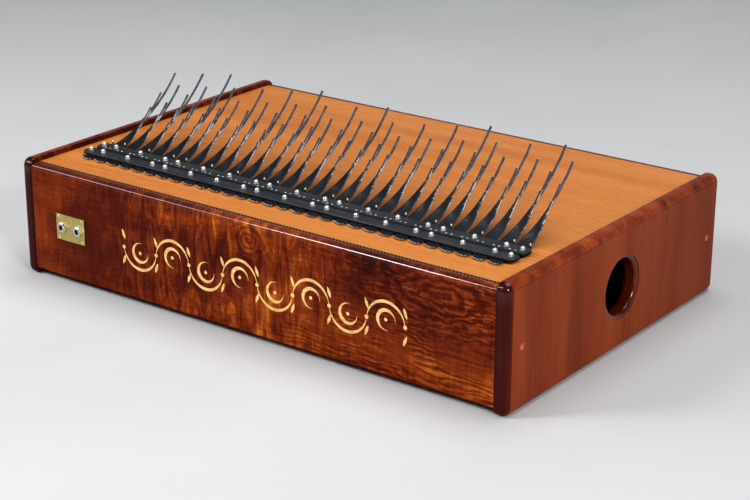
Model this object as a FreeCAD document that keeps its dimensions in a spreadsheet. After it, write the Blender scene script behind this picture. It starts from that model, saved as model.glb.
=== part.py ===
import FreeCAD, Part
import math
import os
import re
import Sketcher
from FreeCAD import Placement, Rotation, Vector

# A chromatic board mbira: a shallow box of six boards with thirty groups of five spring-steel
# tines clamped across its top.  X runs along the box to the player's right, Y from the front
# panel to the back and Z up.  The origin is the middle of the footprint, on the table.

doc = FreeCAD.newDocument("Mbira")
sheet = doc.addObject("Spreadsheet::Sheet", "Sizes")

# alias, millimetres, degrees or a bare ratio, what it is
SIZES = (
    ("box_width", 664, "over the two cheeks"),
    ("box_depth", 434, "front to back of a cheek"),
    ("box_height", 140, "height of a cheek"),
    ("cheek_thick", 16, "thickness of a cheek at its field"),
    ("cheek_corner", 9.8, "radius of a cheek's corners"),
    ("cheek_round", 7.8, "quarter round along a cheek's outer edge"),
    ("cheek_step", 1.0, "height of the raised field inside the quarter round"),
    ("cheek_ease", 2.5, "eased inner edge of a cheek"),
    ("port_bore", 30.5, "radius of a sound port"),
    ("port_rim", 35.5, "radius of the sunk ring around a port"),
    ("port_round", 4.0, "round of a port's mouth"),
    ("port_setback", 3.0, "port centre behind the middle of the cheek"),
    ("screw_place", 192, "cheek screws, in front of and behind the middle"),
    ("screw_sink", 3.6, "radius of the sink over a cheek screw"),
    ("sink_depth", 4.5, "depth of that sink"),
    ("screw_shank", 1.75, "radius of a wood screw's shank"),
    ("panel_recess", 1.5, "panel face behind the cheeks' front edges"),
    ("panel_thick", 19, "thickness of the front and rear panels"),
    ("panel_lift", 9.0, "underside of the panels above the table"),
    ("panel_lip", 9.0, "width of the lip that hides the soundboard's edge"),
    ("panel_round", 5.0, "rounded top edge of a panel"),
    ("board_top", 134.5, "top of the soundboard above the table"),
    ("board_thick", 4.0, "thickness of the soundboard"),
    ("purfling_width", 5.6, "width of the rope purfling"),
    ("purfling_deep", 1.2, "depth of the purfling"),
    ("purfling_inset", 0, "purfling behind the soundboard's front edge"),
    ("bottom_lift", 9.5, "underside of the bottom board"),
    ("bottom_thick", 6, "thickness of the bottom board"),
    ("lining_size", 10, "square section of the linings"),
    ("block_size", 24, "square section of the corner blocks"),
    ("brace_wide", 8, "width of a soundboard brace"),
    ("brace_tall", 12, "height of a soundboard brace"),
    ("brace_pitch", 140, "from one brace to the next"),
    ("bridge_front", -165, "front of the bridge plate under the board"),
    ("bridge_deep", 65, "front to back of the bridge plate"),
    ("bridge_long", 604, "length of the bridge plate"),
    ("bridge_thick", 10, "thickness of the bridge plate"),
    ("bar_half", 295.5, "half the length of a clamp bar"),
    ("bar_wide", 19, "width of a clamp bar"),
    ("bar_thick", 2.5, "thickness of a clamp bar"),
    ("bar_corner", 8.0, "rounded corners of a clamp bar"),
    ("bar_bevel", 0.5, "bevel around a clamp bar's top"),
    ("front_bar", -146.7, "centre line of the front clamp bar"),
    ("rear_bar", -125.3, "centre line of the rear clamp bar"),
    ("bed_front", -155.5, "front edge of the tine bed"),
    ("bed_deep", 40.5, "front to back of the tine bed"),
    ("bed_short", 3, "tine bed inside the ends of the bars"),
    ("bed_thick", 1.2, "thickness of the tine bed"),
    ("rod_size", 0.6, "radius of a saddle rod"),
    ("rod_proud", 0.3, "saddle rod above the bed"),
    ("front_rod", -154, "line of the front saddle rod"),
    ("rear_rod", -118, "line of the rear saddle rod"),
    ("group_pitch", 19.2, "from one group of tines to the next"),
    ("tine_pitch", 3.15, "from one tine to the next in a group"),
    ("tine_wide", 2.9, "width of a tine"),
    ("tine_thick", 1.0, "thickness of a tine"),
    ("tine_longest", 152, "free length of the longest tine, along its curve"),
    ("octave_ratio", 0.735, "each tine's length over that of the one an octave lower"),
    ("tine_rise", 9.9, "slope of a tine where it leaves the bar"),
    ("tine_curl", 40.5, "how much a tine turns up along its length"),
    ("flex_line", -115, "line about which the free tines bend"),
    ("root_gap", 0.3, "gap between the clamped and the free length"),
    ("tail_short", 7.5, "shortest tail in front of the front bar"),
    ("bolt_shank", 1.5, "radius of an M3 bolt"),
    ("bolt_dome", 2.6, "radius of its domed head"),
    ("bolt_hex", 3.1, "corner radius of the hexagon under the dome"),
    ("bolt_hex_thick", 2.1, "thickness of that hexagon"),
    ("bolt_long", 26, "length under the head"),
    ("bolt_room", 1.6, "radius of a bolt hole"),
    ("nut_across", 3.1, "corner radius of an M3 nut"),
    ("nut_thick", 2.4, "thickness of that nut"),
    ("set_size", 1.4, "radius of a set screw"),
    ("set_line", -129.3, "line of the set screws in the rear bar"),
    ("set_proud", 0.3, "set screw above the bar"),
    ("pin_size", 1.0, "radius of a brass guide pin"),
    ("pin_line", -111, "line of the guide pins"),
    ("pin_tall", 8, "guide pin above the soundboard"),
    ("plate_wide", 44, "width of the jack plate"),
    ("plate_tall", 30.6, "height of the jack plate"),
    ("plate_thick", 1.5, "thickness of the jack plate"),
    ("plate_place", -256.3, "centre of the jack plate along the box"),
    ("plate_level", 68.8, "centre of the jack plate above the table"),
    ("jack_spread", 12.5, "each jack from the plate's centre"),
    ("jack_bore", 3.25, "radius of the bore for a 6.35 mm plug"),
    ("jack_bush", 4.5, "radius of the threaded bush"),
    ("jack_proud", 3.4, "bush in front of the plate"),
    ("jack_web", 6, "panel thickness left behind the plate"),
    ("jack_body", 9.0, "radius of a jack's body"),
    ("jack_deep", 24, "depth of a jack's body"),
    ("plug_deep", 20, "depth of the bore inside the body"),
    ("jack_nut", 6.35, "corner radius of a jack nut"),
    ("jack_nut_thick", 2.4, "thickness of a jack nut"),
    ("plate_screw", 17.6, "plate screws from its centre, sideways"),
    ("plate_screw_up", 12.6, "plate screws from its centre, up and down"),
    ("small_head", 1.9, "radius of a plate screw's head"),
    ("inlay_deep", 0.8, "depth of the inlay in the front panel"),
    ("inlay_proud", 0.05, "inlay in front of the panel's face"),
    ("inlay_middle", 17.7, "centre of the inlay along the box"),
    ("inlay_level", 66.3, "centre line of the inlay"),
    ("scroll_size", 24, "radius of one half wave of the scroll"),
    ("scroll_swell", 3.4, "widest stroke of the scroll"),
    ("pickup_size", 13.5, "radius of a contact pickup"),
    ("pickup_thick", 0.8, "thickness of a contact pickup"),
    ("pickup_place", 115.2, "each pickup from the middle of the box"),
    ("lead_size", 1.5, "radius of a pickup lead"),
)
for row, (alias, number, meaning) in enumerate(SIZES, start=1):
    sheet.set("A%d" % row, meaning)
    sheet.set("B%d" % row, str(number))
    sheet.setAlias("B%d" % row, alias)
doc.recompute()

ALIAS = re.compile(r"[a-z]+(?:_[a-z]+)+")
UP = Vector(0, 0, 1)
ACROSS = Vector(1, 0, 0)
OUTWARD = Vector(0, -1, 0)
INWARD = Vector(0, 1, 0)
ORIGIN = -1
GROUPS = 30
TINES = 5
# The boundaries between groups at which the bars are bolted down.
BOLTED = (0, 1, 3, 5, 6, 8, 10, 12, 13, 15, 17, 18, 20, 22, 24, 25, 27, 29, 30)

parts = []


def bind(item, prop, formula):
    """Ties one property to a formula in which every alias stands for its cell."""
    item.setExpression(prop, ALIAS.sub(lambda word: "Sizes." + word.group(), formula))


def size(formula):
    """The number that a formula of aliases has now."""
    return float(sheet.evalExpression(ALIAS.sub(lambda word: "Sizes." + word.group(), formula)))


def place(item, spot, rotation=None):
    """Puts an item's base point at three formulas."""
    if rotation is not None:
        item.Placement = Placement(Vector(), rotation)
    for axis, formula in zip("xyz", spot):
        bind(item, "Placement.Base." + axis, formula)


def block(name, corner, extent):
    """A rectangular block from its low corner and its extent along X, Y and Z."""
    item = doc.addObject("Part::Box", name)
    for prop, formula in zip(("Length", "Width", "Height"), extent):
        bind(item, prop, formula)
    place(item, corner)
    return item


def rod(name, start, radius, length, direction):
    """A round rod from the centre of its first face."""
    item = doc.addObject("Part::Cylinder", name)
    bind(item, "Radius", radius)
    bind(item, "Height", length)
    place(item, start, Rotation(UP, direction))
    return item


def hexagon(name, start, radius, length, direction):
    """A hexagonal prism from the centre of its first face."""
    item = doc.addObject("Part::Prism", name)
    item.Polygon = 6
    bind(item, "Circumradius", radius)
    bind(item, "Height", length)
    place(item, start, Rotation(UP, direction))
    return item


def cut(name, base, tool):
    """The base with the tool taken out of it."""
    item = doc.addObject("Part::Cut", name)
    item.Base = base
    item.Tool = tool
    return item


def fuse(name, items):
    """Several touching items made one solid."""
    item = doc.addObject("Part::MultiFuse", name)
    item.Shapes = items
    return item


def gather(name, items):
    """Separate solids kept together under one name."""
    item = doc.addObject("Part::Compound", name)
    item.Links = items
    return item


def repeat(name, pattern, spots):
    """Copies of one finished item, moved by each vector."""
    doc.recompute()
    item = doc.addObject("Part::Feature", name)
    item.Shape = Part.makeCompound([pattern.Shape.translated(spot) for spot in spots])
    return item


def part(item, label):
    """Takes an item as one of the instrument's pieces, under its own name."""
    item.Label = label
    parts.append(item)
    return item


def plane(body, role):
    """One of a body's own origin planes."""
    return next(item for item in body.Origin.OriginFeatures if item.Role == role)


def new_sketch(body, name, role, offset="0"):
    """A sketch on one of the body's origin planes, moved along its normal."""
    sketch = body.newObject("Sketcher::SketchObject", name)
    sketch.AttachmentSupport = [(plane(body, role), "")]
    sketch.MapMode = "FlatFace"
    bind(sketch, "AttachmentOffset.Base.z", offset)
    return sketch


def constrain(sketch, kind, *ends, name=None, formula=None):
    """Adds a constraint, and ties its value to a formula where it has one."""
    value = () if formula is None else (size(formula),)
    index = sketch.addConstraint(Sketcher.Constraint(kind, *ends, *value))
    if formula is not None:
        sketch.renameConstraint(index, name)
        bind(sketch, "Constraints." + name, formula)


def draw_outline(sketch, corners):
    """A closed outline of straight lines, each corner held at two formulas."""
    spots = [Vector(size(across), size(up), 0) for across, up in corners]
    for number, spot in enumerate(spots):
        sketch.addGeometry(Part.LineSegment(spot, spots[(number + 1) % len(spots)]), False)
    for number, (across, up) in enumerate(corners):
        constrain(sketch, "Coincident", number, 2, (number + 1) % len(spots), 1)
        constrain(sketch, "DistanceX", ORIGIN, 1, number, 1, name="across%d" % number, formula=across)
        constrain(sketch, "DistanceY", ORIGIN, 1, number, 1, name="up%d" % number, formula=up)


def draw_rectangle(sketch, low, high):
    """A rectangle between two corners."""
    draw_outline(sketch, (low, (high[0], low[1]), high, (low[0], high[1])))


def draw_circles(sketch, centres, radius):
    """Circles of one radius, each centre held at two formulas."""
    for number, (across, up) in enumerate(centres):
        spot = Vector(size(across), size(up), 0)
        sketch.addGeometry(Part.Circle(spot, UP, size(radius)), False)
        constrain(sketch, "Radius", number, name="radius%d" % number, formula=radius)
        constrain(sketch, "DistanceX", ORIGIN, 1, number, 3, name="across%d" % number, formula=across)
        constrain(sketch, "DistanceY", ORIGIN, 1, number, 3, name="up%d" % number, formula=up)


def pad(body, name, sketch, length, reverse=False):
    """Adds material on a sketch."""
    item = body.newObject("PartDesign::Pad", name)
    item.Profile = sketch
    item.Reversed = reverse
    bind(item, "Length", length)
    doc.recompute()
    return item


def pocket(body, name, sketch, depth=None, reverse=False):
    """Takes material away behind a sketch, and makes sure that it did."""
    before = body.Shape.Volume
    item = body.newObject("PartDesign::Pocket", name)
    item.Profile = sketch
    item.Reversed = reverse
    if depth is None:
        item.Type = "ThroughAll"
        item.Midplane = True
    else:
        bind(item, "Length", depth)
    doc.recompute()
    if body.Shape.Volume > before - 1:
        raise ValueError(name + " cuts nothing")
    return item


def round_edges(body, name, chosen, radius, kind="PartDesign::Fillet"):
    """Rounds or bevels the edges of the body's tip that a test chooses."""
    tip = body.Tip
    edges = ["Edge%d" % (n + 1) for n, edge in enumerate(tip.Shape.Edges) if chosen(edge)]
    item = body.newObject(kind, name)
    item.Base = (tip, edges)
    bind(item, "Radius" if kind.endswith("Fillet") else "Size", radius)
    doc.recompute()
    return item


def runs_along(direction):
    """A test for straight edges along a direction."""
    def test(edge):
        return edge.Curve.TypeId == "Part::GeomLine" and abs(edge.Curve.Direction.dot(direction)) > 0.999
    return test


def lies_at(axis, value):
    """A test for edges that lie wholly in a plane across one axis."""
    def test(edge):
        ends = (getattr(edge.BoundBox, axis + "Min"), getattr(edge.BoundBox, axis + "Max"))
        return max(abs(end - value) for end in ends) < 0.01
    return test


# ---- cheeks -------------------------------------------------------------------------------


def make_cheek(label, side):
    """A moulded end board with a sound port.  side is 1 for the right and -1 for the left."""
    body = doc.addObject("PartDesign::Body", label.title().replace("_", ""))
    left = side < 0
    inner = "%d * (box_width / 2 - cheek_thick)" % side
    field = "%d * (box_width / 2 - cheek_step)" % side
    outer = "%d * box_width / 2" % side
    slab = new_sketch(body, label + "_outline", "YZ_Plane", inner)
    draw_rectangle(slab, ("-box_depth / 2", "0.0"), ("box_depth / 2", "box_height"))
    pad(body, label + "_slab", slab, "cheek_thick - cheek_step", left)
    round_edges(body, label + "_corners", runs_along(ACROSS), "cheek_corner")
    round_edges(body, label + "_moulding", lies_at("X", size(field)), "cheek_round")
    round_edges(body, label + "_ease", lies_at("X", size(inner)), "cheek_ease")
    raised = new_sketch(body, label + "_field_outline", "YZ_Plane", field)
    draw_rectangle(raised, ("cheek_round - box_depth / 2", "cheek_round"),
                   ("box_depth / 2 - cheek_round", "box_height - cheek_round"))
    pad(body, label + "_field", raised, "cheek_step", left)
    rim = new_sketch(body, label + "_rim_circle", "YZ_Plane", outer)
    draw_circles(rim, [("port_setback", "box_height / 2")], "port_rim")
    pocket(body, label + "_rim", rim, "cheek_step", left)
    bore = new_sketch(body, label + "_bore_circle", "YZ_Plane", outer)
    draw_circles(bore, [("port_setback", "box_height / 2")], "port_bore")
    pocket(body, label + "_bore", bore, "cheek_thick + 1", left)

    def is_mouth(edge):
        on_face = lies_at("X", size(field))(edge)
        return on_face and abs(edge.BoundBox.YLength - 2 * size("port_bore")) < 0.01
    round_edges(body, label + "_mouth", is_mouth, "port_round")
    screws = [("-screw_place", "box_height / 2"), ("screw_place", "box_height / 2")]
    sinks = new_sketch(body, label + "_sink_circles", "YZ_Plane", outer)
    draw_circles(sinks, screws, "screw_sink")
    pocket(body, label + "_sinks", sinks, "sink_depth", left)
    holes = new_sketch(body, label + "_hole_circles", "YZ_Plane", outer)
    draw_circles(holes, screws, "screw_shank")
    pocket(body, label + "_holes", holes, "cheek_thick + 1", left)
    return part(body, label)


make_cheek("left_cheek", -1)
make_cheek("right_cheek", 1)

# ---- panels, soundboard and bottom --------------------------------------------------------

HALF_INSIDE = "(box_width / 2 - cheek_thick)"
INSIDE = "(box_width - 2 * cheek_thick)"
PANEL_FACE = "(box_depth / 2 - panel_recess)"
PANEL_BACK = "(box_depth / 2 - panel_recess - panel_thick)"
BOARD_EDGE = "(box_depth / 2 - panel_recess - panel_lip)"
BOARD_UNDER = "(board_top - board_thick)"


def make_panel(label, side):
    """A long board with a rebate for the soundboard.  side is -1 in front and 1 behind."""
    body = doc.addObject("PartDesign::Body", label.title().replace("_", ""))
    profile = new_sketch(body, label + "_profile", "YZ_Plane", "-" + HALF_INSIDE)
    face, seat, back = ("%d * %s" % (side, place) for place in (PANEL_FACE, BOARD_EDGE, PANEL_BACK))
    draw_outline(profile, ((face, "panel_lift"), (back, "panel_lift"), (back, BOARD_UNDER),
                           (seat, BOARD_UNDER), (seat, "board_top"), (face, "board_top")))
    pad(body, label + "_board", profile, INSIDE)

    def is_outer_top(edge):
        along = runs_along(ACROSS)(edge) and lies_at("Z", size("board_top"))(edge)
        return along and lies_at("Y", side * size(PANEL_FACE))(edge)
    round_edges(body, label + "_round", is_outer_top, "panel_round")
    return body


front_board = make_panel("front_board", -1)
jack_spots = [("plate_place - jack_spread", "plate_level"), ("plate_place + jack_spread", "plate_level")]
relief = new_sketch(front_board, "jack_relief_outline", "XZ_Plane", PANEL_BACK)
draw_rectangle(relief, ("plate_place - plate_wide / 2", "plate_level - plate_tall / 2"),
               ("plate_place + plate_wide / 2", "plate_level + plate_tall / 2"))
pocket(front_board, "jack_relief", relief, "panel_thick - jack_web", True)
bush_holes = new_sketch(front_board, "bush_circles", "XZ_Plane", PANEL_FACE)
draw_circles(bush_holes, jack_spots, "jack_bush + 0.25")
pocket(front_board, "bush_holes", bush_holes, "panel_thick + 1")
part(make_panel("rear_panel", 1), "rear_panel")

board = block("BoardBlank", ("-" + HALF_INSIDE, "-" + BOARD_EDGE, BOARD_UNDER),
              (INSIDE, "2 * " + BOARD_EDGE, "board_thick"))
PURFLING = ("-" + HALF_INSIDE, "purfling_inset - " + BOARD_EDGE, "board_top - purfling_deep")
groove = block("PurflingGroove", PURFLING, (INSIDE, "purfling_width", "purfling_deep + 1"))
strip = block("PurflingStrip", PURFLING, (INSIDE, "purfling_width", "purfling_deep"))
part(strip, "purfling_strip")

bottom = block("BottomBoard", ("-" + HALF_INSIDE, "-" + PANEL_BACK, "bottom_lift"),
               (INSIDE, "2 * " + PANEL_BACK, "bottom_thick"))

# ---- the frame inside the box ---------------------------------------------------------------

LINING_HALF = "(box_width / 2 - cheek_thick - block_size)"
linings = []
for end, edge in (("Front", "-" + PANEL_BACK), ("Rear", PANEL_BACK + " - lining_size")):
    for level, low in (("Top", BOARD_UNDER + " - lining_size"), ("Low", "bottom_lift + bottom_thick")):
        linings.append(block(end + level + "Lining", ("-" + LINING_HALF, edge, low),
                             ("2 * " + LINING_HALF, "lining_size", "lining_size")))
part(gather("Linings", linings), "panel_linings")

blocks = []
BLOCK_LOW = "bottom_lift + bottom_thick"
for end, edge in (("Front", "-" + PANEL_BACK), ("Rear", PANEL_BACK + " - block_size")):
    for hand, start, out in (("Left", "-" + HALF_INSIDE, -1), ("Right", LINING_HALF, 1)):
        post = block(end + hand + "Post", (start, edge, BLOCK_LOW),
                     ("block_size", "block_size", BOARD_UNDER + " - bottom_lift - bottom_thick"))
        hole_y = "screw_place" if end == "Rear" else "-screw_place"
        hole = rod(end + hand + "Pilot", ("%d * (box_width / 2)" % out, hole_y, "box_height / 2"),
                   "screw_shank", "cheek_thick + block_size / 2", ACROSS * -out)
        blocks.append(cut(end + hand + "Block", post, hole))
part(gather("Blocks", blocks), "corner_blocks")

braces = []
for number in range(4):
    middle = "%.1f * brace_pitch" % (number - 1.5)
    braces.append(block("Brace%d" % number, (middle + " - brace_wide / 2", "bridge_front + bridge_deep + 4",
                                              BOARD_UNDER + " - brace_tall"),
                        ("brace_wide", PANEL_BACK + " - lining_size - bridge_front - bridge_deep - 4",
                         "brace_tall")))
part(gather("Braces", braces), "soundboard_braces")

# ---- bolts through bars, bed, soundboard and bridge plate -----------------------------------

BED_TOP = "(board_top + bed_thick)"
TINE_LOW = "(board_top + bed_thick + rod_proud)"
TINE_MID = "(board_top + bed_thick + rod_proud + tine_thick / 2)"
BAR_LOW = "(board_top + bed_thick + rod_proud + tine_thick)"
BAR_TOP = "(board_top + bed_thick + rod_proud + tine_thick + bar_thick)"


def boundary(number):
    """Where the gap before a group lies along the box."""
    return "%d * group_pitch" % (number - GROUPS // 2)


def on_boundaries(line, level, numbers=BOLTED):
    """Vectors to the gaps between groups, on a line across the box."""
    pitch = size("group_pitch")
    return [Vector((number - GROUPS // 2) * pitch, size(line), size(level)) for number in numbers]


shank = rod("BoltShank", ("0.0", "0.0", "-bolt_long"), "bolt_shank", "bolt_long", UP)
hex_head = hexagon("BoltHex", ("0.0", "0.0", "0.0"), "bolt_hex", "bolt_hex_thick", UP)
dome = doc.addObject("Part::Sphere", "BoltDome")
bind(dome, "Radius", "bolt_dome")
dome.Angle1 = 0
place(dome, ("0.0", "0.0", "bolt_hex_thick"))
bolt = fuse("Bolt", [shank, hex_head, dome])
bolt_tops = on_boundaries("front_bar", BAR_TOP) + on_boundaries("rear_bar", BAR_TOP)
part(repeat("Bolts", bolt, bolt_tops), "clamp_bar_bolts")

NUT_LOW = "(board_top - board_thick - bridge_thick - nut_thick)"
nut_blank = hexagon("NutBlank", ("0.0", "0.0", "0.0"), "nut_across", "nut_thick", UP)
nut_hole = rod("NutHole", ("0.0", "0.0", "0.0"), "bolt_shank", "nut_thick", UP)
nut = cut("Nut", nut_blank, nut_hole)
nut_spots = on_boundaries("front_bar", NUT_LOW) + on_boundaries("rear_bar", NUT_LOW)
part(repeat("Nuts", nut, nut_spots), "clamp_bar_nuts")

drill = rod("BoltDrill", ("0.0", "0.0", "-bolt_long"), "bolt_room", "bolt_long", UP)
pin_drill = rod("PinDrill", ("0.0", "0.0", "0.0"), "pin_size", "board_thick + pin_tall", UP)
pin_spots = on_boundaries("pin_line", BOARD_UNDER)
bolt_drills = repeat("BoltDrills", drill, bolt_tops)
pin_drills = repeat("PinDrills", pin_drill, pin_spots)
part(repeat("Pins", pin_drill, pin_spots), "guide_pins")


def drilled(name, base, tools):
    """An item with several sets of holes through it."""
    for number, tool in enumerate(tools, start=1):
        base = cut("%s%d" % (name, number), base, tool)
    return base


part(drilled("Soundboard", board, [groove, bolt_drills, pin_drills]), "soundboard")
bridge = block("BridgeBlank", ("-bridge_long / 2", "bridge_front", BOARD_UNDER + " - bridge_thick"),
               ("bridge_long", "bridge_deep", "bridge_thick"))
part(drilled("Bridge", bridge, [bolt_drills]), "bridge_plate")

BED_HALF = "(bar_half - bed_short)"
bed = block("BedBlank", ("-" + BED_HALF, "bed_front", "board_top"),
            ("2 * " + BED_HALF, "bed_deep", "bed_thick"))
ROD_LEVEL = BED_TOP + " + rod_proud - rod_size"
rods = [rod(name, ("-" + BED_HALF, line, ROD_LEVEL), "rod_size", "2 * " + BED_HALF, ACROSS)
        for name, line in (("FrontRod", "front_rod"), ("RearRod", "rear_rod"))]
part(gather("Rods", rods), "saddle_rods")
part(drilled("Bed", bed, [rods[0], rods[1], bolt_drills]), "tine_bed")

# ---- clamp bars ---------------------------------------------------------------------------


def make_bar(label, line):
    """A flat bar with rounded corners, a bevelled top and a bolt hole at each bolted boundary."""
    body = doc.addObject("PartDesign::Body", label.title().replace("_", ""))
    outline = new_sketch(body, label + "_outline", "XY_Plane", BAR_LOW)
    draw_rectangle(outline, ("-bar_half", line + " - bar_wide / 2"), ("bar_half", line + " + bar_wide / 2"))
    pad(body, label + "_bar", outline, "bar_thick")
    round_edges(body, label + "_corners", runs_along(UP), "bar_corner")
    round_edges(body, label + "_bevel", lies_at("Z", size(BAR_TOP)), "bar_bevel", "PartDesign::Chamfer")
    holes = new_sketch(body, label + "_bolt_circles", "XY_Plane", BAR_TOP)
    draw_circles(holes, [(boundary(number), line) for number in BOLTED], "bolt_room")
    pocket(body, label + "_bolt_holes", holes, "bar_thick + 1")
    return body


part(make_bar("front_clamp_bar", "front_bar"), "front_clamp_bar")
rear_clamp = make_bar("rear_clamp_bar", "rear_bar")
thirds = new_sketch(rear_clamp, "set_circles", "XY_Plane", BAR_TOP)
draw_circles(thirds, [(boundary(0) + " + group_pitch * %d / 3" % third, "set_line") for third in (1, 2)],
             "set_size")
set_holes = pocket(rear_clamp, "set_holes", thirds, "bar_thick + 1")
row_of_holes = rear_clamp.newObject("PartDesign::LinearPattern", "set_hole_row")
row_of_holes.Originals = [set_holes]
row_of_holes.Direction = (thirds, ["H_Axis"])
row_of_holes.Occurrences = GROUPS
bind(row_of_holes, "Length", "group_pitch * %d" % (GROUPS - 1))
rear_clamp.Tip = row_of_holes
part(rear_clamp, "rear_clamp_bar")

set_blank = rod("SetBlank", ("0.0", "0.0", "0.0"), "set_size", "bar_thick + set_proud", UP)
set_socket = hexagon("SetSocket", ("0.0", "0.0", "bar_thick - 0.9"), "set_size * 0.55",
                     "2.0 * set_proud + 1.2", UP)
set_screw = cut("SetScrew", set_blank, set_socket)
set_spots = [spot + ACROSS * size("group_pitch * %d / 3" % third)
             for spot in on_boundaries("set_line", BAR_LOW, range(GROUPS)) for third in (1, 2)]
part(repeat("SetScrews", set_screw, set_spots), "bar_set_screws")

# ---- tines --------------------------------------------------------------------------------


def tine_left(group, tine):
    """The left edge of a tine, with its group of five centred between two boundaries."""
    spare = "(group_pitch - %d * tine_pitch - tine_wide) / 2" % (TINES - 1)
    return "%s + %s + %d * tine_pitch" % (boundary(group), spare, tine)


def free_length(group, tine):
    """Neighbouring groups step round the circle of fourths, and each tine rings an octave up."""
    semitone = 5 * (group + 1) % 12
    return "tine_longest * 2 ^ (-%d / 24) * octave_ratio ^ %d" % (semitone, tine)


TAIL_STEPS = (0.0, 1.8, 3.0, 3.4, 2.2)
FREE_START = Rotation(Vector(1, 1, 1), 120) * Rotation(UP, size("tine_rise") - 90)
tails = []
for group in range(GROUPS):
    tines = []
    for tine in range(TINES):
        code = "%02d_%d" % (group + 1, tine + 1)
        curve = "(%s) / (tine_curl * pi / 180)" % free_length(group, tine)
        centre = (tine_left(group, tine), "flex_line - %s * sin(tine_rise)" % curve,
                  TINE_MID + " + %s * cos(tine_rise)" % curve)
        outer = rod("Back" + code, centre, curve + " + tine_thick / 2", "tine_wide", UP)
        inner = rod("Hollow" + code, centre, curve + " - tine_thick / 2", "tine_wide", UP)
        bind(outer, "Angle", "tine_curl")
        outer.Placement = Placement(outer.Placement.Base, FREE_START)
        inner.Placement = Placement(inner.Placement.Base, FREE_START)
        tines.append(cut("Tine" + code, outer, inner))
        tail = "front_bar - bar_wide / 2 - tail_short - %.1f" % TAIL_STEPS[tine]
        tails.append(block("Tail" + code, (tine_left(group, tine), tail, TINE_LOW),
                           ("tine_wide", "flex_line - root_gap - (%s)" % tail, "tine_thick")))
    part(gather("Group%02d" % (group + 1), tines), "tine_group_%02d" % (group + 1))
part(gather("Tails", tails), "tine_tails")

# ---- jack plate, jacks and pickups ----------------------------------------------------------

FACE = "-" + PANEL_FACE
plate_corner = ("plate_place - plate_wide / 2", FACE + " - plate_thick", "plate_level - plate_tall / 2")
plate = block("PlateBlank", plate_corner, ("plate_wide", "plate_thick", "plate_tall"))
bushes = gather("BushHoles", [rod("BushHole%d" % n, (across, FACE + " - plate_thick", up), "jack_bush",
                                  "plate_thick", INWARD) for n, (across, up) in enumerate(jack_spots)])
screw_spots = [("plate_place + %d * plate_screw" % sx, "plate_level + %d * plate_screw_up" % sz)
               for sx in (-1, 1) for sz in (-1, 1)]
screws = []
for number, (across, up) in enumerate(screw_spots):
    head = doc.addObject("Part::Cone", "PlateScrewHead%d" % number)
    bind(head, "Radius1", "small_head * 0.5")
    bind(head, "Radius2", "small_head")
    bind(head, "Height", "plate_thick")
    place(head, (across, FACE, up), Rotation(UP, OUTWARD))
    stem = rod("PlateScrewStem%d" % number, (across, FACE, up), "small_head * 0.5", "jack_web - 0.5",
               INWARD)
    screws.append(fuse("PlateScrew%d" % number, [head, stem]))
plate_screws = gather("PlateScrews", screws)
part(plate_screws, "jack_plate_screws")
part(drilled("JackPlate", plate, [bushes, plate_screws]), "jack_plate")

jack_nuts = []
for hand, (across, up) in zip(("left", "right"), jack_spots):
    start = FACE + " - plate_thick - jack_proud"
    inside = FACE + " + jack_web"
    bush = rod("JackBush_" + hand, (across, start, up), "jack_bush",
               "plate_thick + jack_proud + jack_web", INWARD)
    case = rod("JackCase_" + hand, (across, inside, up), "jack_body", "jack_deep", INWARD)
    whole = fuse("JackBlank_" + hand, [bush, case])
    bore = rod("JackBore_" + hand, (across, start, up), "jack_bore",
               "plate_thick + jack_proud + jack_web + plug_deep", INWARD)
    part(cut("Jack_" + hand, whole, bore), "output_jack_" + hand)
    blank = hexagon("JackNutBlank_" + hand, (across, FACE + " - plate_thick", up), "jack_nut",
                    "jack_nut_thick", OUTWARD)
    jack_nuts.append(cut("JackNut_" + hand, blank, bush))
part(gather("JackNuts", jack_nuts), "jack_nuts")

BRIDGE_MIDDLE = "(bridge_front + bridge_deep / 2)"
PICKUP_LOW = "(board_top - board_thick - bridge_thick - pickup_thick)"
discs = [rod("Pickup%d" % (side + 1), ("%d * pickup_place" % side, BRIDGE_MIDDLE, PICKUP_LOW),
             "pickup_size", "pickup_thick", UP) for side in (-1, 1)]
part(gather("Pickups", discs), "contact_pickups")


def lead(points, radius):
    """A round lead along straight runs joined by arcs that touch both runs."""
    edges = []
    last = points[0]
    for before, corner, after in zip(points, points[1:], points[2:]):
        back = before - corner
        ahead = after - corner
        reach = 0.45 * min(back.Length, ahead.Length)
        start = corner + Vector(back).normalize() * reach
        stop = corner + Vector(ahead).normalize() * reach
        to_middle = (Vector(back).normalize() + Vector(ahead).normalize()).normalize()
        half = back.getAngle(ahead) / 2
        bow = reach / math.cos(half) - reach * math.tan(half)
        edges.append(Part.LineSegment(last, start).toShape())
        edges.append(Part.Arc(start, corner + to_middle * bow, stop).toShape())
        last = stop
    edges.append(Part.LineSegment(last, points[-1]).toShape())
    path = Part.Wire(edges)
    ring = Part.Wire(Part.makeCircle(radius, points[0], points[1] - points[0]))
    return path.makePipeShell([ring], True, False)


PLUG_END = "jack_web + jack_deep"
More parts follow.
